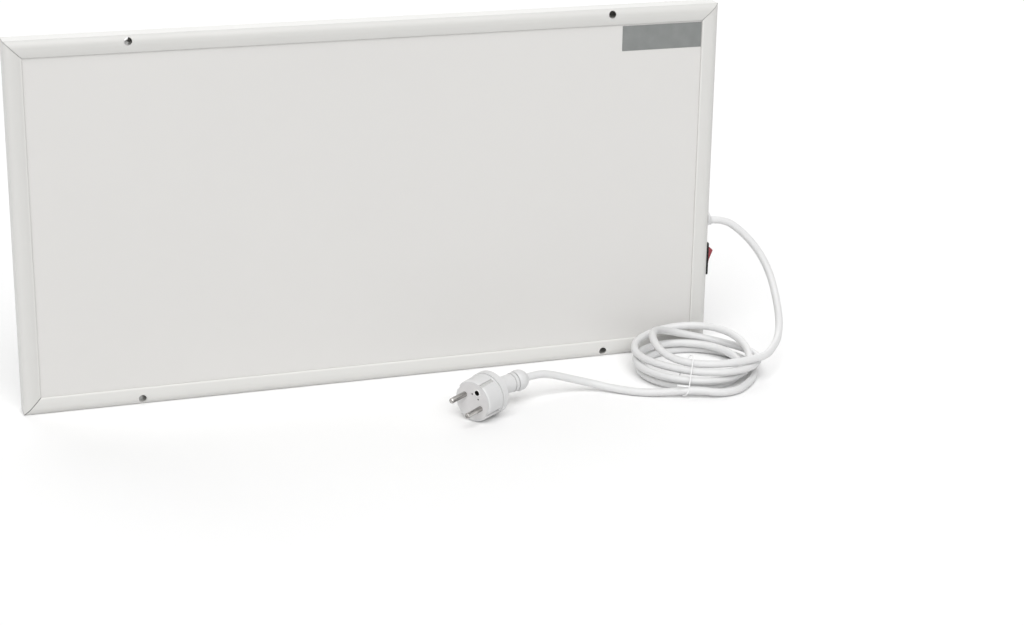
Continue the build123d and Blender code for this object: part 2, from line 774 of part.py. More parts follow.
live_start, neutral_start, earth_start = core_start(210), core_start(90), core_start(330)
live_x = connector_end - wire_gap
lamp_x = pole_xs[0] - wire_step
earth_x = sheath_end - 2 * wire_step
earth_turn_z = lug_barrel_top + wire_step
lug_x = clip_front - lug_barrel_radius
cutout_y = foil_back + cutout_cap + cutout_base / 2
cutout_bottom = cutout_z - cutout_base_height / 2
cutout_top = cutout_z + cutout_base_height / 2
film_face = front_panel_back + film_thickness

wire_routes = {
    "live_wire": [
        live_start, (live_x, live_start[1], live_start[2]), (live_x, 0, blade_levels[0]),
        (connector_end, 0, blade_levels[0])],
    "neutral_wire": [
        neutral_start, (pole_xs[2], 0, neutral_start[2]), (pole_xs[2], 0, block_bottom - drop(1.4)),
        (pole_xs[2], block_port_y, block_bottom - drop(0.6)), (pole_xs[2], block_port_y, port_low)],
    "earth_wire": [
        earth_start, (sheath_end - wire_gap, earth_start[1], earth_start[2]),
        (earth_x, wire_gap, earth_start[2] - drop(1.4)), (earth_x, wire_gap, earth_turn_z),
        (lug_x, 0, earth_turn_z), (lug_x, 0, lug_barrel_top)],
    "switched_wire": [
        (connector_end, 0, blade_levels[1]), (connector_end - wire_step, 0, blade_levels[1]),
        (pole_xs[0], block_port_y, blade_levels[1] + drop(1)), (pole_xs[0], block_port_y, port_low)],
    "lamp_wire": [
        (connector_end, 0, blade_levels[2]), (lamp_x, 0, blade_levels[2]),
        (lamp_x, 0, block_bottom - drop(2)), (pole_xs[1], block_port_y, block_bottom - drop(2)),
        (pole_xs[1], block_port_y, port_low)],
    "cutout_wire": [
        (pole_xs[0], block_port_y, port_high), (pole_xs[0], block_port_y, block_top + drop(1)),
        (cutout_x - wire_step, cutout_y, cutout_bottom - drop(1.2)),
        (cutout_x - wire_step, cutout_y, cutout_bottom)],
    "heater_wire_lower": [
        (pole_xs[2], block_port_y, port_high), (pole_xs[2], block_port_y, block_top + drop(1.2)),
        (channel_run_x - wire_step, back_run_y, block_top + drop(1.2)),
        (channel_run_x - wire_step, back_run_y, busbar_levels[0] + drop(1.6)),
        (channel_run_x, wire_radius, busbar_levels[0]), (channel_run_x, film_face, busbar_levels[0])],
    "heater_wire_upper": [
        (cutout_x + wire_step, cutout_y, cutout_top),
        (cutout_x + wire_step, cutout_y, cutout_top + drop(1.1)),
        (channel_run_x, cutout_y, cutout_top + drop(1.1)), (channel_run_x, cutout_y, busbar_levels[1]),
        (channel_run_x, film_face, busbar_levels[1])],
}
for name, route in wire_routes.items():
    wire = tube(route, wire_radius, wire_bend)
    wire.label = name
    export_step(wire, f"parts/{name}.step")

# ---------------------------------------------------------------- coil of spare cord
reaches = [reach_before, *coil_reach, reach_after]
heights = [height_before, *coil_height, height_after]
quarters = len(coil_reach) - 1


def coil_point(turn):
    """Centre of the coiled cord after a number of turns, the front right being 1/8 turn."""
    place = (turn - 0.125) * 4 + 1
    first = min(int(place), quarters)
    part = place - first
    values = []
    for row in (reaches, heights):
        before, start, end, after = row[first - 1:first + 3]
        values.append(start + part / 2 * (end - before + part * (
            2 * before - 5 * start + 4 * end - after + part * (3 * (start - end) + after - before))))
    angle = math.tau * turn
    return Vector(coil_x + values[0] * math.cos(angle), coil_y - values[0] * math.sin(angle), values[1])


def coil_direction(node):
    """Unit direction of the cord at one of the coil's nodes."""
    angle = math.tau * (0.125 + node / 4)
    reach = reaches[node + 1]
    reach_slope = 2 * (reaches[node + 2] - reaches[node])
    height_slope = 2 * (heights[node + 2] - heights[node])
    return Vector(reach_slope * math.cos(angle) - math.tau * reach * math.sin(angle),
                  -reach_slope * math.sin(angle) - math.tau * reach * math.cos(angle),
                  height_slope).normalized()


nodes = [coil_point(0.125 + node / 4) for node in range(quarters + 1)]
directions = [coil_direction(node) for node in range(quarters + 1)]

with BuildPart() as cord_coil:
    with BuildLine() as coil_line:
        for start, end, leave, arrive in zip(nodes, nodes[1:], directions, directions[1:]):
            chord = end - start
            both = leave + arrive
            along = chord.dot(both)
            spread = 2 * (1 - leave.dot(arrive))
            reach = (math.sqrt(along ** 2 + spread * chord.dot(chord)) - along) / spread
            control, last_control = start + leave * reach, end - arrive * reach
            joint = (control + last_control) * 0.5
            TangentArc(start, joint, tangent=leave)
            TangentArc(joint, end, tangent=(last_control - control).normalized())
    with BuildSketch(Plane(origin=nodes[0], z_dir=directions[0])):
        Circle(cord_radius)
    sweep(path=coil_line.line)
cord_coil.part.label = "cord_coil"
export_step(cord_coil.part, "parts/cord_coil.step")

steps = 96
samples = [coil_point(0.125 + quarters / 4 * step / (steps * 4)) for step in range(steps * 4 + 1)]
least = min((one - other).length for place, one in enumerate(samples)
            for other in samples[place + steps // 3:])
coil_length = sum(edge.length for edge in coil_line.edges())
print("coil: least clear gap to itself", round(least - 2 * cord_radius, 2),
      "length", round(coil_length, 1),
      "volume / (section x length)",
      round(cord_coil.part.volume / (math.pi * cord_radius ** 2 * coil_length), 4))

# ---------------------------------------------------------------- free stretches of cord
heading = math.radians(plug_heading)
roll = math.radians(plug_roll)
tilt = math.atan2(plug_flange_radius - plug_rim_radius, plug_flange_front - plug_rim_round)
sideways = Vector(-math.sin(heading), math.cos(heading), 0)
pins_ahead = Vector(math.cos(heading) * math.cos(tilt), math.sin(heading) * math.cos(tilt), -math.sin(tilt))
lift = pins_ahead.cross(sideways)
pins_across = sideways * math.cos(roll) + lift * math.sin(roll)
plug_centre = Vector(plug_x, plug_y, plug_rim_radius * math.cos(tilt) - plug_rim_round * math.sin(tilt))
plug = Plane(origin=plug_centre, x_dir=pins_across, z_dir=pins_ahead)
plug_side = Plane(origin=plug_centre, x_dir=plug.x_dir, z_dir=-plug.y_dir)
plug_axis = Axis(plug_centre, pins_ahead)
neck_start = plug_centre - pins_ahead * neck_root
neck_hinge = neck_start + sideways * (neck_length / math.radians(neck_bend))
neck_turn = Axis(neck_hinge, -lift)
collar_start = neck_hinge + (neck_start - neck_hinge).rotate(neck_turn, neck_bend)
collar_way = (-pins_ahead).rotate(neck_turn, neck_bend)
collar_side = Plane(origin=collar_start, x_dir=lift, z_dir=lift.cross(collar_way))
plug_rear = collar_start + collar_way * collar_end


def beside(points):
    """Route points whose x is measured from the frame's right side."""
    return [(side_x + x, y, z) for x, y, z in points]


arc_route = [(gland_face, 0, cord_height), *beside([
    (17.5, 0, cord_height), (33, -3, 108.4), (49, -10, 90.5), (57.6, -20, 71), (59, -35, 50), (55, -53, 33),
    (45, -72, 24.4), (31.5, -91, 24.2)]), tuple(nodes[0] - directions[0] * coil_run), tuple(nodes[0])]
tail_route = [tuple(nodes[-1]), tuple(nodes[-1] + directions[-1] * coil_run), *beside([
    (-22, -133.5, 3.6), (-40, -136, 4.5), (-58, -130, 7), (-75, -124, 5.5), (-91, -118.5, 4),
    (-105.5, -112.3, 3.6), (-117.5, -103.2, 3.7), (-127.5, -95.7, 4.4), (-137, -91.2, 6.5),
    (-147.5, -89, 9.4), (-159, -88.7, 13), (-170, -89.2, 16.8), (-180.5, -90, 20.2)]),
    tuple(plug_rear + collar_way * plug_run), tuple(plug_rear)]

for name, route in (("arc", arc_route), ("tail", tail_route)):
    print(name, "runs", [round((Vector(*b) - Vector(*a)).length, 1) for a, b in zip(route, route[1:])])
    print(name, "radii", [round(radius) for radius in bend_radii(route)])

cord_arc = tube(arc_route, cord_radius)
cord_arc.label = "cord_arc"
export_step(cord_arc, "parts/cord_arc.step")

cord_tail = tube(tail_route, cord_radius)
cord_tail.label = "cord_tail"
export_step(cord_tail, "parts/cord_tail.step")


def crossings(points, x):
    """Where a row of points crosses the plane at x in front of the coil's centre, as (y, z)."""
    found = []
    for one, other in zip(points, points[1:]):
        if (one.X - x) * (other.X - x) <= 0 and one.Y < coil_y and other.Y < coil_y:
            share = (x - one.X) / (other.X - one.X)
            found.append((one.Y + share * (other.Y - one.Y), one.Z + share * (other.Z - one.Z)))
    return found


tail_line = [Vector(*point) for point in tail_route]
strands = [strand for x in (tie_x - tie_width / 2, tie_x + tie_width / 2)
           for strand in crossings(samples, x) + crossings(tail_line, x)]
print("strands in the tie", [(round(y, 1), round(z, 1)) for y, z in strands])

with BuildPart() as coil_tie:
    for around in (tie_thickness, 0):
        with BuildSketch(Plane.YZ.offset(tie_x - tie_width / 2)):
            with Locations(*strands):
                Circle(cord_radius * tie_slant + tie_clearance + around)
            make_hull()
        extrude(amount=tie_width, mode=Mode.ADD if around else Mode.SUBTRACT)
coil_tie.part.label = "coil_tie"
export_step(coil_tie.part, "parts/coil_tie.step")

# ---------------------------------------------------------------- plug
with BuildPart() as plug_body:
    with BuildSketch(plug_side):
        socket = plug_insert_radius + plug_insert_clearance
        with BuildLine():
            Polyline((0, -neck_root), (0, -plug_insert_depth), (socket, -plug_insert_depth), (socket, 0),
                     (plug_face_radius, 0), (plug_rim_radius, -plug_rim_round),
                     (plug_back_radius, plug_seam - plug_flange_front),
                     (plug_back_radius - plug_seam, plug_seam - plug_flange_front),
                     (plug_back_radius - plug_seam, -plug_flange_front),
                     (plug_flange_radius, -plug_flange_front), (plug_flange_radius, -plug_flange_edge))
            TangentArc((plug_flange_radius, -plug_flange_edge),
                       (plug_flange_radius - plug_flange_round, -plug_flange_edge - plug_flange_round),
                       tangent=(0, -1))
            ThreePointArc((plug_flange_radius - plug_flange_round, -plug_flange_edge - plug_flange_round),
                          (plug_shoulder_radius, -plug_shoulder), (neck_radius, -neck_root))
            Line((neck_radius, -neck_root), (0, -neck_root))
        make_face()
    revolve(axis=plug_axis)
    with BuildSketch(Plane(origin=neck_start, x_dir=sideways, z_dir=-pins_ahead)):
        Circle(neck_radius)
    revolve(axis=neck_turn, revolution_arc=neck_bend)
    with BuildSketch(plug):
        with GridLocations(pin_pitch, 0, 2, 1):
            Circle(pin_root_radius + pin_clearance)
    extrude(amount=-pin_root, mode=Mode.SUBTRACT)
    with BuildSketch(plug):
        with Locations((0, -earth_hole_offset)):
            Circle(earth_hole_radius)
    extrude(amount=-earth_hole_depth, mode=Mode.SUBTRACT)
    with BuildSketch(plug):
        for side in (-1, 1):
            with Locations((side * notch_floor, 0)):
                Rectangle(notch_floor, notch_width,
                          align=(Align.MIN if side > 0 else Align.MAX, Align.CENTER))
            with Locations((0, side * strip_floor)):
                Rectangle(strip_width + 2 * slot_clearance, strip_floor,
                          align=(Align.CENTER, Align.MIN if side > 0 else Align.MAX))
    extrude(amount=-strip_length, mode=Mode.SUBTRACT)
plug_body.part.label = "plug_body"
export_step(plug_body.part, "parts/plug_body.step")

with BuildPart() as plug_face:
    with BuildSketch(plug):
        Circle(plug_insert_radius)
        with GridLocations(pin_pitch, 0, 2, 1):
            Circle(pin_root_radius + pin_clearance, mode=Mode.SUBTRACT)
        with Locations((0, -earth_hole_offset)):
            Circle(earth_hole_radius, mode=Mode.SUBTRACT)
        for side in (-1, 1):
            with Locations((side * notch_floor, 0)):
                Rectangle(notch_floor, notch_width, mode=Mode.SUBTRACT,
                          align=(Align.MIN if side > 0 else Align.MAX, Align.CENTER))
    extrude(amount=-plug_insert_depth)
    with BuildSketch(plug):
        with Locations((-dimple_offset, -dimple_drop), (dimple_offset, -dimple_drop)):
            Circle(dimple_radius)
    extrude(amount=-dimple_depth, mode=Mode.SUBTRACT)
plug_face.part.label = "plug_face"
export_step(plug_face.part, "parts/plug_face.step")

with BuildPart() as plug_pins:
    for plane, radius, length in ((plug.offset(-pin_root), pin_root_radius, pin_root),
                                  (plug, pin_radius, pin_length)):
        with BuildSketch(plane):
            with GridLocations(pin_pitch, 0, 2, 1):
                Circle(radius)
        extrude(amount=length)
    fillet(plug_pins.edges().filter_by(GeomType.CIRCLE).sort_by(plug_axis)[-2:], radius=pin_round)
plug_pins.part.label = "plug_pins"
export_step(plug_pins.part, "parts/plug_pins.step")

with BuildPart() as plug_earth_strips:
    with BuildSketch(plug):
        for side in (-1, 1):
            with Locations((0, side * (strip_floor + strip_thickness / 2))):
                Rectangle(strip_width, strip_thickness)
    extrude(amount=-strip_length)
plug_earth_strips.part.label = "plug_earth_strips"
export_step(plug_earth_strips.part, "parts/plug_earth_strips.step")

with BuildPart() as plug_collar:
    with BuildSketch(collar_side):
        ring_end = collar_groove + collar_ring
        with BuildLine():
            Polyline((0, collar_end), (0, 0), (collar_groove_radius, 0),
                     (collar_groove_radius, collar_groove), (collar_ring_radius, collar_groove),
                     (collar_ring_radius, ring_end),
                     (collar_groove_radius, ring_end), (collar_groove_radius, collar_front),
                     (collar_front_radius, collar_front))
            ThreePointArc((collar_front_radius, collar_front), (collar_radius, collar_middle),
                          (collar_back_radius, collar_end))
            Line((collar_back_radius, collar_end), (0, collar_end))
        make_face()
    revolve(axis=Axis(collar_start, collar_way))
plug_collar.part.label = "plug_collar"
export_step(plug_collar.part, "parts/plug_collar.step")
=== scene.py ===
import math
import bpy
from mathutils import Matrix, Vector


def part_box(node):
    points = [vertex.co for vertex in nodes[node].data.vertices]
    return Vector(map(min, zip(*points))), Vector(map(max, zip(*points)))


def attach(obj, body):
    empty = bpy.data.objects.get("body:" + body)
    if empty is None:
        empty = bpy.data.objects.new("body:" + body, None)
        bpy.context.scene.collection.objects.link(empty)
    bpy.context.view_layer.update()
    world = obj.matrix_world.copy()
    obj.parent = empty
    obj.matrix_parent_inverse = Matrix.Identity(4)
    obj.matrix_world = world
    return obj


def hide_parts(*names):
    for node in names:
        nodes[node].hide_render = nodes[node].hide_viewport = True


bl_info = {
    "name": "Infrared panel heater",
    "version": (1, 0, 0),
    "blender": (4, 5, 0),
    "location": "View3D > Sidebar > Heater",
    "description": "Gives the panel heater its paint, plastics and metals, its cord and tie, and a studio",
    "category": "Object",
}

import bmesh
import bpy
from bpy.props import FloatProperty, FloatVectorProperty, IntProperty, PointerProperty
from mathutils import Matrix, Vector

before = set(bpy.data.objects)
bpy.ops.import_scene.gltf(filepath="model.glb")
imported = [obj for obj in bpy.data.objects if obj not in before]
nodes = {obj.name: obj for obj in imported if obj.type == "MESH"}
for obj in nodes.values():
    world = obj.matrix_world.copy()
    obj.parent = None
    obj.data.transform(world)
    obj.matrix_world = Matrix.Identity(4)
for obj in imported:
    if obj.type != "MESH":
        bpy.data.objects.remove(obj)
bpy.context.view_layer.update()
frame_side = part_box("frame_right")[1].x
frame_face = frame_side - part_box("frame_right")[0].x
frame_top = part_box("frame_top")[1].z
gland_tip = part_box("cord_gland")[1].x

# ---------------------------------------------------------------- the cord's route, in metres
cord_height = 0.1181
cord_drop = ((0.0175, 0, 0.1181), (0.033, -0.003, 0.1084), (0.049, -0.010, 0.0905), (0.0576, -0.020, 0.071),
             (0.059, -0.035, 0.050), (0.055, -0.053, 0.033), (0.045, -0.072, 0.0244), (0.0315, -0.091, 0.0242))
cord_run = ((-0.022, -0.1335, 0.0036), (-0.040, -0.136, 0.0045), (-0.058, -0.130, 0.007),
            (-0.075, -0.124, 0.0055), (-0.091, -0.1185, 0.004), (-0.1055, -0.1123, 0.0036),
            (-0.1175, -0.1032, 0.0037), (-0.1275, -0.0957, 0.0044), (-0.137, -0.0912, 0.0065),
            (-0.1475, -0.089, 0.0094), (-0.159, -0.0887, 0.013), (-0.170, -0.0892, 0.0168),
            (-0.1805, -0.090, 0.0202), (-0.1926, -0.0916, 0.0223))
coil_middle = Vector((frame_side - 0.038, -0.072, 0))
# reach from the coil's middle and height at the front right, front left, back left and back right
coil_reach = (0.058, 0.038, 0.0385, 0.059,
              0.0565, 0.043, 0.055, 0.0565,
              0.0495, 0.0515, 0.0505, 0.0485,
              0.043, 0.048, 0.048, 0.055,
              0.056)
coil_height = (0.0236, 0.0245, 0.0325, 0.0115,
               0.0162, 0.0184, 0.020, 0.025,
               0.0099, 0.0119, 0.0115, 0.0095,
               0.0042, 0.0048, 0.0035, 0.0035,
               0.0035)
reach_ends = (0.120, 0.062)
height_ends = (0.022, 0.0035)
coil_straight = 0.016
plug_rear = Vector((frame_side - 0.2048, -0.0961, 0.0216))

# ---------------------------------------------------------------- the plug's place and its earth hole
plug_middle = (frame_side - 0.2623, -0.1277)
plug_heading = math.radians(214.2)
plug_roll = math.radians(150.3)
plug_rim = (0.0183, 0.0012)
plug_flange = (0.0192, 0.0185)
earth_offset = 0.010
earth_radius = 0.0026
# Centres of the two dimples beside the earth hole, whose floors get painted shade.
painted_dimple_shades = ((-0.0036, -0.0056), (0.0036, -0.0056))

# ---------------------------------------------------------------- the camera
camera_place = (-0.49837, -1.81205, 0.71257)
camera_right = Vector((0.94712, -0.32052, 0.01499))
camera_up = Vector((0.09175, 0.31530, 0.94455))
camera_ahead = Vector((0.30747, 0.89323, -0.32803))
camera_lens = 79.504


# ---------------------------------------------------------------- what a user would change
class HeaterPaint(bpy.types.PropertyGroup):
    frame_colour: FloatVectorProperty(
        name="Frame paint", description="Powder coat of the mitred frame", subtype="COLOR",
        size=3, min=0, max=1, default=(0.685, 0.680, 0.660))
    panel_colour: FloatVectorProperty(
        name="Panel enamel", description="Enamel of the heating face", subtype="COLOR",
        size=3, min=0, max=1, default=(0.715, 0.705, 0.688))
    back_colour: FloatVectorProperty(
        name="Rear cover", description="Coating of the rear cover", subtype="COLOR",
        size=3, min=0, max=1, default=(0.62, 0.62, 0.61))
    grain: FloatProperty(
        name="Paint grain", description="Width of one hump of the paint's skin", subtype="DISTANCE",
        unit="LENGTH", min=0.0001, max=0.01, default=0.0009)


class HeaterCord(bpy.types.PropertyGroup):
    thickness: FloatProperty(
        name="Cord thickness", description="Diameter of the round mains cord", subtype="DISTANCE",
        unit="LENGTH", min=0.003, max=0.012, default=0.0068)
    length: FloatProperty(
        name="Cord length", description="Real length from the gland to the plug", subtype="DISTANCE",
        unit="LENGTH", min=0.5, max=5, default=1.72)
    points_per_turn: IntProperty(
        name="Points per turn", description="Control points in each turn of the coil",
        min=12, max=48, default=24)
    colour: FloatVectorProperty(
        name="Cord sheath", description="White PVC of the cord", subtype="COLOR",
        size=3, min=0, max=1, default=(0.745, 0.745, 0.745))


class HeaterTie(bpy.types.PropertyGroup):
    thickness: FloatProperty(
        name="Tie thickness", description="Diameter of the coated wire", subtype="DISTANCE",
        unit="LENGTH", min=0.0005, max=0.003, default=0.0010)
    twist_length: FloatProperty(
        name="Twisted end", description="Length of the two ends twisted together", subtype="DISTANCE",
        unit="LENGTH", min=0.002, max=0.03, default=0.0115)
    twist_turns: FloatProperty(
        name="Twists", description="Turns in the twisted end", min=0.5, max=8, default=3.5)


class HeaterPlug(bpy.types.PropertyGroup):
    body_colour: FloatVectorProperty(
        name="Plug body", description="Moulded white body of the plug", subtype="COLOR",
        size=3, min=0, max=1, default=(0.72, 0.72, 0.72))
    face_colour: FloatVectorProperty(
        name="Plug face", description="Light grey insert that holds the pins", subtype="COLOR",
        size=3, min=0, max=1, default=(0.72, 0.71, 0.71))
    rocker_colour: FloatVectorProperty(
        name="Rocker", description="Translucent red of the switch's rocker", subtype="COLOR",
        size=3, min=0, max=1, default=(0.42, 0.035, 0.055))


# ---------------------------------------------------------------- shared shader effects
def start_group(name, inputs, outputs):
    """Empty shader node group with named inputs and outputs, given as name: (kind, default)."""
    group = bpy.data.node_groups.new(name, "ShaderNodeTree")
    for label, (kind, default) in inputs.items():
        socket = group.interface.new_socket(label, in_out="INPUT", socket_type="NodeSocket" + kind)
        if default is not None:
            socket.default_value = default
    for label, kind in outputs.items():
        group.interface.new_socket(label, in_out="OUTPUT", socket_type="NodeSocket" + kind)
    entry = group.nodes.new("NodeGroupInput")
    leave = group.nodes.new("NodeGroupOutput")
    return group, entry, leave


def math_node(tree, operation, first, second):
    """Math node whose operands are sockets or plain numbers."""
    node = tree.nodes.new("ShaderNodeMath")
    node.operation = operation
    for socket, value in zip(node.inputs, (first, second)):
        if isinstance(value, bpy.types.NodeSocket):
            tree.links.new(value, socket)
        else:
            socket.default_value = value
    return node.outputs[0]


def make_grain():
    """Fine humps of paint or moulded plastic: a height from noise of a given width."""
    group, entry, leave = start_group(
        "Surface grain",
        {"Place": ("Vector", None), "Width": ("Float", 0.001), "Roughened": ("Float", 0.5)},
        {"Height": "Float"})
    noise = group.nodes.new("ShaderNodeTexNoise")
    noise.inputs["Detail"].default_value = 3
    group.links.new(entry.outputs["Place"], noise.inputs["Vector"])
    group.links.new(math_node(group, "DIVIDE", 1.0, entry.outputs["Width"]), noise.inputs["Scale"])
    group.links.new(entry.outputs["Roughened"], noise.inputs["Roughness"])
    group.links.new(noise.outputs["Fac"], leave.inputs["Height"])
    return group


def make_mottle():
    """Slow unevenness: a colour between two shades and a roughness between two levels."""
    group, entry, leave = start_group(
        "Mottled finish",
        {"Place": ("Vector", None), "Width": ("Float", 0.1),
         "Dark": ("Color", (0.5, 0.5, 0.5, 1)), "Light": ("Color", (0.6, 0.6, 0.6, 1)),
         "Smooth": ("Float", 0.3), "Rough": ("Float", 0.4)},
        {"Color": "Color", "Roughness": "Float"})
    noise = group.nodes.new("ShaderNodeTexNoise")
    noise.inputs["Detail"].default_value = 4
    group.links.new(entry.outputs["Place"], noise.inputs["Vector"])
    group.links.new(math_node(group, "DIVIDE", 1.0, entry.outputs["Width"]), noise.inputs["Scale"])
    spread = group.nodes.new("ShaderNodeMapRange")
    spread.inputs["From Min"].default_value = 0.3
    spread.inputs["From Max"].default_value = 0.7
    group.links.new(noise.outputs["Fac"], spread.inputs["Value"])
    shade = group.nodes.new("ShaderNodeMix")
    shade.data_type = "RGBA"
    group.links.new(spread.outputs["Result"], shade.inputs["Factor"])
    group.links.new(entry.outputs["Dark"], shade.inputs[6])
    group.links.new(entry.outputs["Light"], shade.inputs[7])
    polish = group.nodes.new("ShaderNodeMapRange")
    group.links.new(spread.outputs["Result"], polish.inputs["Value"])
    group.links.new(entry.outputs["Rough"], polish.inputs["To Min"])
    group.links.new(entry.outputs["Smooth"], polish.inputs["To Max"])
    group.links.new(shade.outputs[2], leave.inputs["Color"])
    group.links.new(polish.outputs["Result"], leave.inputs["Roughness"])
    return group


def make_strokes():
    """Brushing, drawing or scoring lines: noise drawn out along one way of the piece."""
    group, entry, leave = start_group(
        "Drawn strokes",
        {"Place": ("Vector", None), "Stretch": ("Vector", (1, 1, 1)), "Width": ("Float", 0.0004)},
        {"Height": "Float"})
    scaled = group.nodes.new("ShaderNodeVectorMath")
    scaled.operation = "MULTIPLY"
    group.links.new(entry.outputs["Place"], scaled.inputs[0])
    group.links.new(entry.outputs["Stretch"], scaled.inputs[1])
    noise = group.nodes.new("ShaderNodeTexNoise")
    noise.inputs["Detail"].default_value = 2
    group.links.new(scaled.outputs["Vector"], noise.inputs["Vector"])
    group.links.new(math_node(group, "DIVIDE", 1.0, entry.outputs["Width"]), noise.inputs["Scale"])
    group.links.new(noise.outputs["Fac"], leave.inputs["Height"])
    return group


def make_edges():
    """Where the frame's mitres stand open, darker towards the bottom as painted shade, and a painted highlight along
    its lip, from its outer size.
    """
    group, entry, leave = start_group(
        "Frame edges",
        {"Place": ("Vector", None), "Side": ("Float", 0.3), "Height": ("Float", 0.3), "Face": ("Float", 0.015)},
        {"Mitre": "Float", "Lip Painted Highlight": "Float"})

    def calculate(operation, first, second=0.0):
        return math_node(group, operation, first, second)

    def fade(value, start, end):
        """1 up to start, 0 from end on."""
        ramp = group.nodes.new("ShaderNodeMapRange")
        group.links.new(value, ramp.inputs["Value"])
        ramp.inputs["From Min"].default_value = start
        ramp.inputs["From Max"].default_value = end
        ramp.inputs["To Min"].default_value = 1.0
        ramp.inputs["To Max"].default_value = 0.0
        return ramp.outputs["Result"]

    split = group.nodes.new("ShaderNodeSeparateXYZ")
    group.links.new(entry.outputs["Place"], split.inputs["Vector"])
    height, face, up = entry.outputs["Height"], entry.outputs["Face"], split.outputs["Z"]
    from_side = calculate("SUBTRACT", entry.outputs["Side"], calculate("ABSOLUTE", split.outputs["X"]))
    from_top = calculate("SUBTRACT", height, up)
    from_end = calculate("MINIMUM", from_top, up)
    mitre = fade(calculate("ABSOLUTE", calculate("SUBTRACT", from_side, from_end)), 0.00025, 0.0006)
    # Painted shade: the open mitre's dark line is strongest near the bottom and fades towards the top.
    painted_shade_below = fade(calculate("DIVIDE", up, height), -0.1, 1.5)
    group.links.new(calculate("MULTIPLY", mitre, painted_shade_below), leave.inputs["Mitre"])
    # Painted highlight: a band along the lip's inner edge, left out on the top bar, where the lip is in shade.
    inside = calculate("SUBTRACT", face, calculate("MINIMUM", from_side, from_end))
    lip_highlight = calculate("MULTIPLY", fade(inside, 0.0009, 0.0016), calculate("GREATER_THAN", from_top, face))
    group.links.new(lip_highlight, leave.inputs["Lip Painted Highlight"])
    return group


effects = {}


def effect(name):
    """The shared node group of that name, made when it is first asked for."""
    if name not in effects:
        effects[name] = {"grain": make_grain, "mottle": make_mottle, "strokes": make_strokes,
                         "edges": make_edges}[name]()
    return effects[name]


def shade(colour, factor):
    """A colour made lighter or darker by a factor, as four channels."""
    return (*(min(1.0, channel * factor) for channel in colour), 1.0)


class Finish:
    """One material on its own Principled BSDF, built up by shared effects."""

    def __init__(self, name, colour, roughness=0.4, metallic=0.0, specular=0.5):
        self.material = bpy.data.materials.new(name)
        self.material.use_nodes = True
        self.tree = self.material.node_tree
        self.shader = self.tree.nodes["Principled BSDF"]
        self.colour = tuple(colour)
        self.roughness = roughness
        self.shader.inputs["Base Color"].default_value = (*self.colour, 1.0)
        self.shader.inputs["Roughness"].default_value = roughness
        self.shader.inputs["Metallic"].default_value = metallic
        self.shader.inputs["Specular IOR Level"].default_value = specular
        self.place = self.tree.nodes.new("ShaderNodeTexCoord").outputs["Object"]

    def add(self, name, **values):
        """Place a shared effect with its own values."""
        node = self.tree.nodes.new("ShaderNodeGroup")
        node.node_tree = effect(name)
        self.tree.links.new(self.place, node.inputs["Place"])
        for label, value in values.items():
            node.inputs[label.capitalize()].default_value = value
        return node

    def along(self, heading, stretch):
        """Draw every pattern added after this out along a level direction."""
        turned = self.tree.nodes.new("ShaderNodeMapping")
        turned.vector_type = "TEXTURE"
        turned.inputs["Rotation"].default_value = (0, 0, heading)
        turned.inputs["Scale"].default_value = (stretch, 1, 1)
        self.tree.links.new(self.place, turned.inputs["Vector"])
        self.place = turned.outputs["Vector"]
        return self

    def tint(self, mask, colour):
        """Mix a colour over the base colour where the mask says so."""
        mix = self.tree.nodes.new("ShaderNodeMix")
        mix.data_type = "RGBA"
        base = self.shader.inputs["Base Color"]
        self.tree.links.new(mask, mix.inputs["Factor"])
        self.tree.links.new(base.links[0].from_socket, mix.inputs[6])
        mix.inputs[7].default_value = colour
        self.tree.links.new(mix.outputs[2], base)
        return self

    def mottle(self, width, contrast=0.02, sheen_change=0.05):
        """Uneven colour and polish."""
        node = self.add("mottle", width=width, dark=shade(self.colour, 1 - contrast),
                        light=shade(self.colour, 1 + contrast), smooth=self.roughness - sheen_change,
                        rough=self.roughness + sheen_change)
        self.tree.links.new(node.outputs["Color"], self.shader.inputs["Base Color"])
        self.tree.links.new(node.outputs["Roughness"], self.shader.inputs["Roughness"])
        return self

    def bump(self, height, depth, strength=1.0):
        """Raise the surface by a height map of the given depth in metres."""
        node = self.tree.nodes.new("ShaderNodeBump")
        node.inputs["Strength"].default_value = strength
        node.inputs["Distance"].default_value = depth
        self.tree.links.new(height, node.inputs["Height"])
        before = self.shader.inputs["Normal"]
        if before.is_linked:
            self.tree.links.new(before.links[0].from_socket, node.inputs["Normal"])
        self.tree.links.new(node.outputs["Normal"], before)
        return self

    def grain(self, width, depth, strength=1.0, roughened=0.5):
        """Fine humps."""
        return self.bump(self.add("grain", width=width, roughened=roughened).outputs["Height"], depth, strength)

    def strokes(self, stretch, width, depth, strength=1.0):
        """Fine parallel lines."""
        node = self.add("strokes", stretch=stretch, width=width)
        return self.bump(node.outputs["Height"], depth, strength)

    def set(self, **values):
        """Plain values on the shader's own sockets."""
        for label, value in values.items():
            self.shader.inputs[label.replace("_", " ")].default_value = value
        return self

    def wear(self, *names):
        """Give this finish to CAD nodes."""
        for name in names:
            slots = nodes[name].material_slots
            for slot in slots:
                slot.material = self.material
        return self


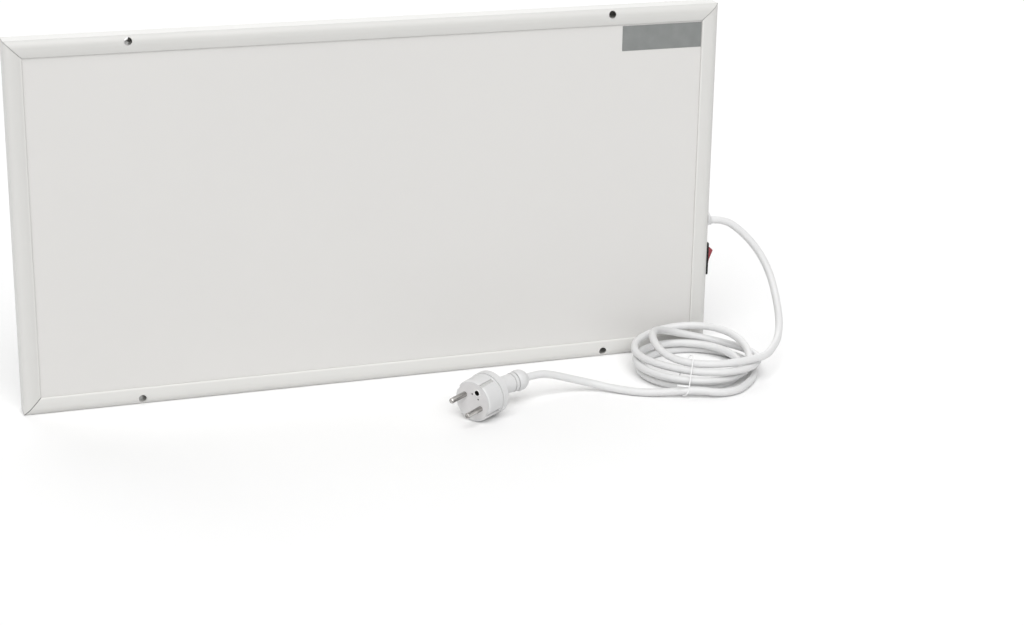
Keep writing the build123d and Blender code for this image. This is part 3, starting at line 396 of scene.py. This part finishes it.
# ---------------------------------------------------------------- operators
class HEATER_OT_frame(bpy.types.Operator):
    """Powder coat on the four mitred bars, and bare metal on the keys and screws inside them"""
    bl_idname = "heater.frame"
    bl_label = "Frame"

    def execute(self, context):
        paint = context.scene.heater_paint
        coat = Finish("powder_coat", paint.frame_colour, roughness=0.36)
        coat.mottle(width=0.16, contrast=0.012, sheen_change=0.04).grain(paint.grain, depth=0.00003, strength=0.35)
        edges = coat.add("edges", side=frame_side, height=frame_top, face=frame_face)
        # Painted highlight: the band along the lip is made lighter than the coat.
        coat.tint(edges.outputs["Lip Painted Highlight"], shade(paint.frame_colour, 1.09))
        # The mitres get a near-black joint line, made stronger at the bottom as painted shade.
        coat.tint(edges.outputs["Mitre"], shade(paint.frame_colour, 0.15))
        coat.wear("frame_top", "frame_bottom", "frame_left", "frame_right")
        casting = Finish("cast_corner_key", (0.55, 0.55, 0.54), roughness=0.55, metallic=1.0)
        casting.mottle(width=0.02, contrast=0.10).grain(0.0006, depth=0.00006).wear("corner_keys")
        zinc = Finish("zinc_screw", (0.60, 0.60, 0.58), roughness=0.32, metallic=1.0)
        zinc.mottle(width=0.004, contrast=0.12).grain(0.0003, depth=0.00001)
        zinc.wear("corner_screws", "terminal_screws", "earth_screw")
        return {"FINISHED"}


class HEATER_OT_panel(bpy.types.Operator):
    """Enamel on the heating face, the rear cover's coating and the layers between them"""
    bl_idname = "heater.panel"
    bl_label = "Panel and layers"

    def execute(self, context):
        paint = context.scene.heater_paint
        enamel = Finish("panel_enamel", paint.panel_colour, roughness=0.48)
        enamel.mottle(width=0.22, contrast=0.010, sheen_change=0.04)
        enamel.grain(0.0014, depth=0.00004, strength=0.4, roughened=0.6).wear("front_panel")
        cover = Finish("rear_cover_coating", paint.back_colour, roughness=0.5)
        cover.mottle(width=0.05, contrast=0.03).grain(0.0010, depth=0.00003, strength=0.5).wear("rear_cover")
        film = Finish("carbon_film", (0.025, 0.025, 0.027), roughness=0.42)
        film.mottle(width=0.01, contrast=0.3).strokes((1, 1, 0.05), 0.0012, depth=0.00003).wear("heating_film")
        copper = Finish("copper_strip", (0.80, 0.42, 0.27), roughness=0.30, metallic=1.0)
        copper.mottle(width=0.02, contrast=0.12).strokes((0.03, 1, 1), 0.0004, depth=0.00001).wear("busbars")
        mica = Finish("pressed_mica", (0.45, 0.40, 0.30), roughness=0.4)
        mica.mottle(width=0.006, contrast=0.25, sheen_change=0.15).grain(0.002, depth=0.00005).wear("mica_sheet")
        foil = Finish("bright_foil", (0.86, 0.86, 0.87), roughness=0.18, metallic=1.0)
        foil.mottle(width=0.02, contrast=0.04, sheen_change=0.08).grain(0.012, depth=0.0004).wear("reflector_foil")
        wool = Finish("glass_wool_board", (0.74, 0.66, 0.40), roughness=0.9, specular=0.2)
        wool.mottle(width=0.008, contrast=0.12).strokes((1, 0.2, 0.3), 0.0012, depth=0.0004)
        wool.wear("insulation_board")
        return {"FINISHED"}


class HEATER_OT_label(bpy.types.Operator):
    """Matt grey foil of the bare label plate"""
    bl_idname = "heater.label"
    bl_label = "Label plate"

    def execute(self, context):
        foil = Finish("label_foil", (0.235, 0.245, 0.24), roughness=0.42, metallic=0.35)
        foil.mottle(width=0.010, contrast=0.05, sheen_change=0.07)
        foil.strokes((0.04, 1, 1), 0.0005, depth=0.00002, strength=0.6).wear("label_plate")
        return {"FINISHED"}


class HEATER_OT_switch(bpy.types.Operator):
    """Black nylon housing, translucent red rocker and plated contacts"""
    bl_idname = "heater.switch"
    bl_label = "Rocker switch"

    def execute(self, context):
        nylon = Finish("black_nylon", (0.010, 0.010, 0.010), roughness=0.45, specular=0.2)
        nylon.mottle(width=0.004, contrast=0.2, sheen_change=0.06).grain(0.0004, depth=0.00001, strength=0.5)
        nylon.wear("switch_housing")
        red = Finish("red_rocker", context.scene.heater_plug.rocker_colour, roughness=0.16)
        red.mottle(width=0.006, contrast=0.08, sheen_change=0.03).grain(0.003, depth=0.00002, strength=0.3)
        red.set(Transmission_Weight=0.35, IOR=1.49, Coat_Weight=0.4, Coat_Roughness=0.08).wear("switch_rocker")
        plated = Finish("plated_brass", (0.76, 0.72, 0.60), roughness=0.28, metallic=1.0)
        plated.mottle(width=0.003, contrast=0.08).strokes((1, 1, 0.1), 0.0004, depth=0.00001)
        plated.wear("switch_terminals", "earth_lug")
        return {"FINISHED"}


class HEATER_OT_wiring(bpy.types.Operator):
    """Coloured wires, terminal block, thermal cut-out and connectors in the wiring bay"""
    bl_idname = "heater.wiring"
    bl_label = "Wiring"

    def execute(self, context):
        sheaths = {
            "brown_wire": ((0.13, 0.05, 0.02), ("live_wire", "switched_wire")),
            "blue_wire": ((0.03, 0.12, 0.42), ("neutral_wire", "lamp_wire", "heater_wire_lower")),
            "green_wire": ((0.10, 0.36, 0.05), ("earth_wire",)),
        }
        for name, (colour, wires) in sheaths.items():
            sheath = Finish(name, colour, roughness=0.35)
            sheath.mottle(width=0.005, contrast=0.08).grain(0.0008, depth=0.00001).wear(*wires)
        braid = Finish("glass_sleeving", (0.68, 0.64, 0.52), roughness=0.75)
        braid.mottle(width=0.002, contrast=0.15).grain(0.0004, depth=0.00008).wear("cutout_wire", "heater_wire_upper")
        polyamide = Finish("polyamide", (0.74, 0.71, 0.63), roughness=0.45)
        polyamide.mottle(width=0.006, contrast=0.03).grain(0.0005, depth=0.00001)
        polyamide.wear("terminal_block", "spade_connectors", "gland_clip")
        phenolic = Finish("phenolic", (0.03, 0.022, 0.018), roughness=0.28)
        phenolic.mottle(width=0.004, contrast=0.3).grain(0.0006, depth=0.00001).wear("thermal_cutout")
        return {"FINISHED"}


def catmull_rom(before, start, end, after, part):
    """Value between start and end on the smooth curve through four evenly spaced values."""
    return start + part / 2 * (end - before + part * (
        2 * before - 5 * start + 4 * end - after + part * (3 * (start - end) + after - before)))


def coil_point(turn):
    """Centre of the coiled cord after a number of turns, the front right being 1/8 turn."""
    place = (turn - 0.125) * 4
    first = min(int(place), len(coil_reach) - 2)
    values = []
    for row, ends in ((coil_reach, reach_ends), (coil_height, height_ends)):
        padded = (ends[0], *row, ends[1])
        values.append(catmull_rom(*padded[first:first + 4], place - first))
    angle = math.tau * turn
    return coil_middle + Vector((values[0] * math.cos(angle), -values[0] * math.sin(angle), values[1]))


def beside(points):
    """Route points whose x is measured from the frame's right side."""
    return [Vector((frame_side + x, y, z)) for x, y, z in points]


def cord_points(per_turn):
    """Control points of the whole cord, from the gland through the coil to the plug."""
    count = round((len(coil_reach) - 1) / 4 * per_turn)
    coil = [coil_point(0.125 + step / per_turn) for step in range(count + 1)]
    nudge = 0.001
    start_way = (coil_point(0.125 + nudge) - coil[0]).normalized()
    end_way = (coil[-1] - coil_point(0.125 + count / per_turn - nudge)).normalized()
    return [Vector((gland_tip, 0, cord_height)), *beside(cord_drop), coil[0] - start_way * coil_straight,
            *coil, coil[-1] + end_way * coil_straight, *beside(cord_run), plug_rear]


class HEATER_OT_cord(bpy.types.Operator):
    """Round white mains cord on one smooth line, with its gland, collar and inlet"""
    bl_idname = "heater.cord"
    bl_label = "Mains cord"

    def execute(self, context):
        settings = context.scene.heater_cord
        line = bpy.data.curves.new("mains_cord", "CURVE")
        line.dimensions = "3D"
        line.bevel_depth = settings.thickness / 2
        line.bevel_resolution = 6
        line.use_fill_caps = True
        spline = line.splines.new("NURBS")
        points = cord_points(settings.points_per_turn)
        spline.points.add(len(points) - 1)
        for place, point in zip(spline.points, points):
            place.co = (*point, 1.0)
        spline.order_u = 3
        spline.use_endpoint_u = True
        spline.resolution_u = 6
        cord = bpy.data.objects.new("mains_cord", line)
        context.scene.collection.objects.link(cord)
        pvc = Finish("white_pvc", settings.colour, roughness=0.42)
        pvc.mottle(width=0.03, contrast=0.012, sheen_change=0.05).grain(0.0012, depth=0.00002, strength=0.4)
        pvc.set(Subsurface_Weight=0.08, Subsurface_Radius=(0.002, 0.002, 0.002)).wear("cord_inlet")
        line.materials.append(pvc.material)
        gland = Finish("white_nylon", shade(settings.colour, 0.98)[:3], roughness=0.5)
        gland.mottle(width=0.01, contrast=0.015).grain(0.0005, depth=0.00002).wear("cord_gland")
        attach(cord, "heater")
        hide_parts("cord_arc", "cord_coil", "cord_tail")
        return {"FINISHED"}


def plug_axes():
    """The plug's axes across its pins, square to them and ahead, and the middle of its face."""
    tilt = math.atan2(plug_flange[0] - plug_rim[0], plug_flange[1] - plug_rim[1])
    sideways = Vector((-math.sin(plug_heading), math.cos(plug_heading), 0))
    ahead = Vector((math.cos(plug_heading) * math.cos(tilt), math.sin(plug_heading) * math.cos(tilt),
                    -math.sin(tilt)))
    across = sideways * math.cos(plug_roll) + ahead.cross(sideways) * math.sin(plug_roll)
    middle = Vector((*plug_middle, plug_rim[0] * math.cos(tilt) - plug_rim[1] * math.sin(tilt)))
    return across, ahead.cross(across), ahead, middle


def add_turning(mesh, profile, place):
    """Turned solid from radius and height pairs that start and end on its own axis."""
    count = 24
    rings = []
    for radius, height in profile:
        if radius == 0:
            rings.append([mesh.verts.new((*place, height))] * count)
        else:
            rings.append([mesh.verts.new((place[0] + radius * math.cos(math.tau * step / count),
                                          place[1] + radius * math.sin(math.tau * step / count), height))
                          for step in range(count)])
    for lower, upper in zip(rings, rings[1:]):
        for step in range(count):
            following = (step + 1) % count
            corners = [lower[step], lower[following], upper[following], upper[step]]
            mesh.faces.new(list(dict.fromkeys(corners)))


class HEATER_OT_plug(bpy.types.Operator):
    """Moulded white plug with its grey face, plated pins and bend protector"""
    bl_idname = "heater.plug"
    bl_label = "Plug"

    def execute(self, context):
        settings = context.scene.heater_plug
        shell = Finish("moulded_plug", settings.body_colour, roughness=0.34)
        shell.mottle(width=0.02, contrast=0.012, sheen_change=0.05).grain(0.0007, depth=0.00002, strength=0.4)
        shell.set(Subsurface_Weight=0.05, Subsurface_Radius=(0.002, 0.002, 0.002))
        shell.wear("plug_body", "plug_collar")
        insert = Finish("plug_face_grey", settings.face_colour, roughness=0.5)
        insert.mottle(width=0.008, contrast=0.03).grain(0.0004, depth=0.00002).wear("plug_face")
        # Painted reflection: the pins' dark base colour and strong streaks along their length stand in for the dark
        # bands that a plated pin mirrors.
        nickel_with_painted_reflection = Finish("nickel_pin", (0.40, 0.39, 0.375), roughness=0.2, metallic=1.0)
        nickel_with_painted_reflection.along(plug_heading, 14).mottle(width=0.0016, contrast=0.55, sheen_change=0.06)
        nickel_with_painted_reflection.grain(0.0003, depth=0.000005).wear("plug_pins")
        steel = Finish("spring_strip", (0.66, 0.66, 0.65), roughness=0.3, metallic=1.0)
        steel.along(plug_heading, 10).mottle(width=0.0008, contrast=0.10).grain(0.0003, depth=0.00001)
        steel.wear("plug_earth_strips")
        self.add_earth_sleeve(context)
        return {"FINISHED"}

    def add_earth_sleeve(self, context):
        """Cup in the earth hole with a lighter rim and a near-black inside as painted shade, and near-black discs of
        painted shade on the floors of the two dimples beside it.
        """
        across, upwards, ahead, middle = plug_axes()
        turn = Matrix((across, upwards, ahead)).transposed().to_4x4()
        mesh = bmesh.new()
        rim = earth_radius + 0.0007
        wall = earth_radius - 0.00005
        bore = earth_radius - 0.0003
        cup = ((0.0, -0.0123), (wall, -0.0123), (wall, -0.0001), (rim, -0.0001), (rim, 0.0002),
               (rim - 0.0002, 0.0004), (bore + 0.0002, 0.0004), (bore, 0.0002), (bore, -0.012), (0.0, -0.012))
        add_turning(mesh, cup, (0.0, -earth_offset))
        for dimple in painted_dimple_shades:
            add_turning(mesh, ((0.0, -0.00035), (0.00074, -0.00035), (0.00074, -0.0002), (0.0, -0.0002)), dimple)
        # Faces below the face plane get the near-black material: painted shade in the hole and in the dimples.
        for face in mesh.faces:
            face.material_index = 0 if min(vertex.co.z for vertex in face.verts) > -0.00015 else 1
        mesh.transform(Matrix.Translation(middle) @ turn)
        bmesh.ops.recalc_face_normals(mesh, faces=mesh.faces)
        shape = bpy.data.meshes.new("earth_sleeve")
        mesh.to_mesh(shape)
        mesh.free()
        light = Finish("sleeve_rim", (0.80, 0.80, 0.79), roughness=0.4)
        light.mottle(width=0.002, contrast=0.03).grain(0.0004, depth=0.00001)
        # Painted shade: near-black for the deep inside of the earth hole and for the dimples' floors.
        dark = Finish("painted_hole_shade", (0.012, 0.012, 0.012), roughness=0.6, specular=0.2)
        dark.mottle(width=0.001, contrast=0.3).grain(0.0004, depth=0.00001)
        shape.materials.append(light.material)
        shape.materials.append(dark.material)
        sleeve = bpy.data.objects.new("earth_sleeve", shape)
        context.scene.collection.objects.link(sleeve)
        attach(sleeve, "heater")


# ---------------------------------------------------------------- the wire tie
tie_foot = frame_side - 0.0706
tie_lean = 0.52
tie_half_width = 0.0049
tie_half_height = 0.0042


def tie_loop():
    """Closed loop round the coil's front strands, as round corners at the three outermost ones."""
    corners = [Vector((-0.1086, 0.0268)), Vector((-0.1265, 0.0061)), Vector((-0.1095, 0.0048))]
    loop = []
    for before, corner, after in zip(corners[-1:] + corners, corners, corners[1:] + corners[:1]):
        arrive, leave = (corner - before).normalized(), (after - corner).normalized()
        start, sweep = math.atan2(-arrive.x, arrive.y), arrive.angle_signed(leave)
        for step in range(9):
            angle = start - sweep * step / 8
            y = corner.x + tie_half_width * math.cos(angle)
            z = corner.y + tie_half_height * math.sin(angle)
            loop.append(Vector((tie_foot + tie_lean * z, y, z)))
    return loop


def start_tree(name, inputs):
    """Geometry Nodes tree with a geometry input and output and further named inputs."""
    tree = bpy.data.node_groups.new(name, "GeometryNodeTree")
    tree.interface.new_socket("Geometry", in_out="INPUT", socket_type="NodeSocketGeometry")
    for label, kind in inputs.items():
        tree.interface.new_socket(label, in_out="INPUT", socket_type="NodeSocket" + kind)
    tree.interface.new_socket("Geometry", in_out="OUTPUT", socket_type="NodeSocketGeometry")
    return tree, tree.nodes.new("NodeGroupInput"), tree.nodes.new("NodeGroupOutput")


def wire_tree():
    """Coated wire along the edges of the mesh, and a pair of ends twisted round each other."""
    tree, entry, leave = start_tree("Coated wire", {
        "Radius": "Float", "Twist Length": "Float", "Turns": "Float", "Twist Place": "Vector",
        "Twist Turn": "Vector", "Material": "Material"})
    link = tree.links.new
    loop = tree.nodes.new("GeometryNodeMeshToCurve")
    link(entry.outputs["Geometry"], loop.inputs["Mesh"])
    wires = tree.nodes.new("GeometryNodeJoinGeometry")
    link(loop.outputs["Curve"], wires.inputs["Geometry"])
    for half_turn in (0.0, math.pi):
        strand = tree.nodes.new("GeometryNodeCurveSpiral")
        strand.inputs["Resolution"].default_value = 16
        link(entry.outputs["Turns"], strand.inputs["Rotations"])
        link(entry.outputs["Radius"], strand.inputs["Start Radius"])
        link(entry.outputs["Radius"], strand.inputs["End Radius"])
        link(entry.outputs["Twist Length"], strand.inputs["Height"])
        turned = tree.nodes.new("GeometryNodeTransform")
        turned.inputs["Rotation"].default_value = (0, 0, half_turn)
        link(strand.outputs["Curve"], turned.inputs["Geometry"])
        placed = tree.nodes.new("GeometryNodeTransform")
        link(turned.outputs["Geometry"], placed.inputs["Geometry"])
        link(entry.outputs["Twist Place"], placed.inputs["Translation"])
        link(entry.outputs["Twist Turn"], placed.inputs["Rotation"])
        link(placed.outputs["Geometry"], wires.inputs["Geometry"])
    ring = tree.nodes.new("GeometryNodeCurvePrimitiveCircle")
    ring.inputs["Resolution"].default_value = 12
    link(entry.outputs["Radius"], ring.inputs["Radius"])
    skin = tree.nodes.new("GeometryNodeCurveToMesh")
    skin.inputs["Fill Caps"].default_value = True
    link(wires.outputs["Geometry"], skin.inputs["Curve"])
    link(ring.outputs["Curve"], skin.inputs["Profile Curve"])
    real = tree.nodes.new("GeometryNodeRealizeInstances")
    painted = tree.nodes.new("GeometryNodeSetMaterial")
    link(skin.outputs["Mesh"], real.inputs["Geometry"])
    link(real.outputs["Geometry"], painted.inputs["Geometry"])
    link(entry.outputs["Material"], painted.inputs["Material"])
    link(painted.outputs["Geometry"], leave.inputs["Geometry"])
    return tree


def grow(piece, tree, values):
    """Run a Geometry Nodes tree on a piece with the given inputs and keep the result as a plain mesh."""
    modifier = piece.modifiers.new(tree.name, "NODES")
    modifier.node_group = tree
    for item in tree.interface.items_tree:
        if item.in_out == "INPUT" and item.name in values:
            modifier[item.identifier] = values[item.name]
    bpy.context.view_layer.update()
    evaluated = piece.evaluated_get(bpy.context.evaluated_depsgraph_get())
    grown = bpy.data.meshes.new_from_object(evaluated)
    piece.modifiers.clear()
    piece.data = grown
    piece.data.shade_smooth()


class HEATER_OT_tie(bpy.types.Operator):
    """White coated wire tie round the coil's front strands, with its ends twisted together"""
    bl_idname = "heater.tie"
    bl_label = "Wire tie"

    def execute(self, context):
        settings = context.scene.heater_tie
        coat = Finish("tie_coating", (0.92, 0.92, 0.92), roughness=0.45)
        coat.mottle(width=0.004, contrast=0.02).grain(0.0003, depth=0.00001)
        loop = tie_loop()
        mesh = bpy.data.meshes.new("wire_tie")
        edges = [(step, (step + 1) % len(loop)) for step in range(len(loop))]
        mesh.from_pydata([tuple(point) for point in loop], edges, [])
        tie = bpy.data.objects.new("wire_tie", mesh)
        context.scene.collection.objects.link(tie)
        twist_place = loop[8].lerp(loop[9], 0.92)
        grow(tie, wire_tree(), {
            "Radius": settings.thickness / 2, "Twist Length": settings.twist_length,
            "Turns": settings.twist_turns, "Twist Place": tuple(twist_place),
            "Twist Turn": (0, math.radians(-79), 0), "Material": coat.material})
        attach(tie, "heater")
        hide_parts("coil_tie")
        return {"FINISHED"}


# ---------------------------------------------------------------- stage
def soft_sun(name, towards, spread, strength):
    """Even light from a wide part of the sky, its width given in degrees."""
    lamp = bpy.data.lights.new(name, "SUN")
    lamp.angle = math.radians(spread)
    lamp.energy = strength
    holder = bpy.data.objects.new(name, lamp)
    bpy.context.scene.collection.objects.link(holder)
    holder.rotation_euler = Vector(towards).to_track_quat("Z", "Y").to_euler()


def seen_directly(tree):
    """Factor that is 1 for what the camera sees straight or in gloss and glass, and else 0."""
    path = tree.nodes.new("ShaderNodeLightPath")
    either = math_node(tree, "MAXIMUM", path.outputs["Is Camera Ray"], path.outputs["Is Glossy Ray"])
    return math_node(tree, "MAXIMUM", either, path.outputs["Is Transmission Ray"])


class HEATER_OT_stage(bpy.types.Operator):
    """White floor and surroundings, soft lamps and the camera"""
    bl_idname = "heater.stage"
    bl_label = "Stage"

    def execute(self, context):
        scene = context.scene
        scene.view_settings.view_transform = "Standard"
        floor_mesh = bpy.data.meshes.new("floor")
        half = 8.0
        below = -0.0002
        floor_mesh.from_pydata([(-half, -half, below), (half, -half, below), (half, half, below),
                                (-half, half, below)], [], [(0, 1, 2, 3)])
        floor = bpy.data.objects.new("floor", floor_mesh)
        scene.collection.objects.link(floor)
        paper = bpy.data.materials.new("white_paper")
        paper.use_nodes = True
        paper_shader = paper.node_tree.nodes["Principled BSDF"]
        paper_shader.inputs["Roughness"].default_value = 0.9
        paper_shader.inputs["Specular IOR Level"].default_value = 0.0
        tone = paper.node_tree.nodes.new("ShaderNodeMix")
        tone.data_type = "RGBA"
        tone.inputs[6].default_value = (0.85, 0.85, 0.85, 1)
        tone.inputs[7].default_value = (1.0, 1.0, 1.0, 1)
        paper.node_tree.links.new(seen_directly(paper.node_tree), tone.inputs["Factor"])
        paper.node_tree.links.new(tone.outputs[2], paper_shader.inputs["Base Color"])
        floor_mesh.materials.append(paper)

        world = bpy.data.worlds.new("white_studio")
        scene.world = world
        world.use_nodes = True
        sky = world.node_tree.nodes["Background"]
        sky.inputs["Color"].default_value = (1, 1, 1, 1)
        level = world.node_tree.nodes.new("ShaderNodeMapRange")
        level.inputs["To Min"].default_value = 0.2
        level.inputs["To Max"].default_value = 1.0
        world.node_tree.links.new(seen_directly(world.node_tree), level.inputs["Value"])
        world.node_tree.links.new(level.outputs["Result"], sky.inputs["Strength"])

        soft_sun("front", towards=(-0.14, -0.8, 1.0), spread=60, strength=2.29)
        soft_sun("left", towards=(-1.0, -0.8, 0.6), spread=60, strength=0.24)
        soft_sun("back", towards=(0.2, 1.0, 1.0), spread=60, strength=1.12)

        eye = bpy.data.cameras.new("camera")
        eye.lens = camera_lens
        eye.sensor_width = 36
        eye.clip_start = 0.05
        holder = bpy.data.objects.new("camera", eye)
        scene.collection.objects.link(holder)
        turn = Matrix((camera_right, camera_up, -camera_ahead)).transposed()
        holder.matrix_world = Matrix.Translation(camera_place) @ turn.to_4x4()
        scene.camera = holder
        return {"FINISHED"}


class HEATER_PT_panel(bpy.types.Panel):
    """Lists the heater's settings and steps in the sidebar"""
    bl_label = "Infrared panel heater"
    bl_idname = "HEATER_PT_panel"
    bl_space_type = "VIEW_3D"
    bl_region_type = "UI"
    bl_category = "Heater"

    def draw(self, context):
        for group in ("heater_paint", "heater_cord", "heater_tie", "heater_plug"):
            settings = getattr(context.scene, group)
            box = self.layout.box()
            for name in settings.bl_rna.properties.keys():
                if name not in ("rna_type", "name"):
                    box.prop(settings, name)
        for step in steps:
            self.layout.operator(step.bl_idname)


groups = {"heater_paint": HeaterPaint, "heater_cord": HeaterCord, "heater_tie": HeaterTie,
          "heater_plug": HeaterPlug}
steps = (HEATER_OT_stage, HEATER_OT_tie, HEATER_OT_plug, HEATER_OT_cord, HEATER_OT_frame, HEATER_OT_panel,
         HEATER_OT_label, HEATER_OT_switch, HEATER_OT_wiring)


def register():
    for group in (*groups.values(), *steps, HEATER_PT_panel):
        bpy.utils.register_class(group)
    for name, group in groups.items():
        setattr(bpy.types.Scene, name, PointerProperty(type=group))


def unregister():
    for name in groups:
        delattr(bpy.types.Scene, name)
    for group in reversed((*groups.values(), *steps, HEATER_PT_panel)):
        bpy.utils.unregister_class(group)


def main():
    register()
    for step in steps:
        area, name = step.bl_idname.split(".")
        getattr(getattr(bpy.ops, area), name)()


if __name__ == "__main__":
    main()
